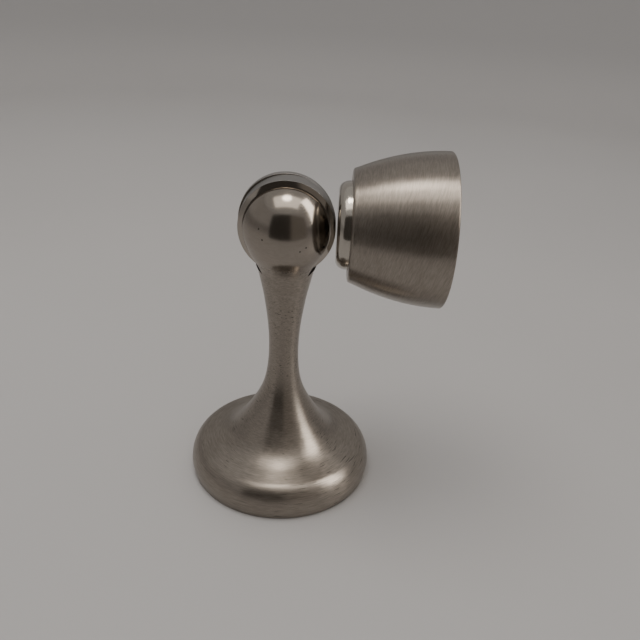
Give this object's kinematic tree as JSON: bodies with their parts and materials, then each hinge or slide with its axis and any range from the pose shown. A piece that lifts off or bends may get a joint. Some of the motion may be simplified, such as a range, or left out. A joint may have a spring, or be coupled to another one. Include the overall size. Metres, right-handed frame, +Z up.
{
  "type": "magnetic floor door holder",
  "caption": "Flared floor post with a slotted ball head and a steel strike disc, held by the sprung magnetic nose of a bell-shaped cup that fixes to a door.",
  "frame": {"origin": "on the floor, where the post's axis meets the underside of the floor plate", "axes": "+Z up along the post, +X from the ball towards the door along the cup's axis, the ball's slot lies in the XZ plane"},
  "size_m": [0.0608, 0.048, 0.0873],
  "materials": {
    "brushed_nickel": "brushed round the axis, satin nickel plate on a zinc casting",
    "polished_nickel": "polished nickel plate on steel",
    "chromed_steel": "mirror polished plate",
    "zinc_plated_steel": "zinc plated",
    "magnet_nickel": "nickel plated sintered magnet",
    "black_rubber": "matte black rubber"
  },
  "bodies": {
    "post": {"post_body": "brushed_nickel", "pivot_pin": "polished_nickel", "floor_plate": "zinc_plated_steel", "floor_stud": "zinc_plated_steel", "grip_washer": "black_rubber", "base_pad": "black_rubber"},
    "strike": {"strike_disc": "polished_nickel"},
    "shim": {"shim_disc": "polished_nickel"},
    "door_half": {"cup_shell": "brushed_nickel", "guide_plate": "zinc_plated_steel", "door_plate": "zinc_plated_steel"},
    "nose": {"nose_cap": "chromed_steel", "magnet": "magnet_nickel", "pole_plate": "zinc_plated_steel", "guide_rod": "zinc_plated_steel", "rod_clip": "zinc_plated_steel", "buffer_spring": "zinc_plated_steel"}
  },
  "joints": [
    {"name": "strike_turn", "type": "hinge", "parent": "post", "child": "strike", "pos_m": [0, 0, 0.0687], "axis": [0, 1, 0], "continuous": true},
    {"name": "shim_turn", "type": "hinge", "parent": "post", "child": "shim", "pos_m": [-0.0004, 0, 0.0687], "axis": [0, 1, 0], "continuous": true},
    {"name": "door_half_pull_off", "type": "slide", "parent": "post", "child": "door_half", "axis": [1, 0, 0], "range_m": [0, 0.06]},
    {"name": "nose_push", "type": "slide", "parent": "door_half", "child": "nose", "axis": [1, 0, 0], "range_m": [0, 0.0025], "stiffness_N_per_m": 1500, "springref_m": -0.002, "deforming": ["buffer_spring"]}
  ]
}
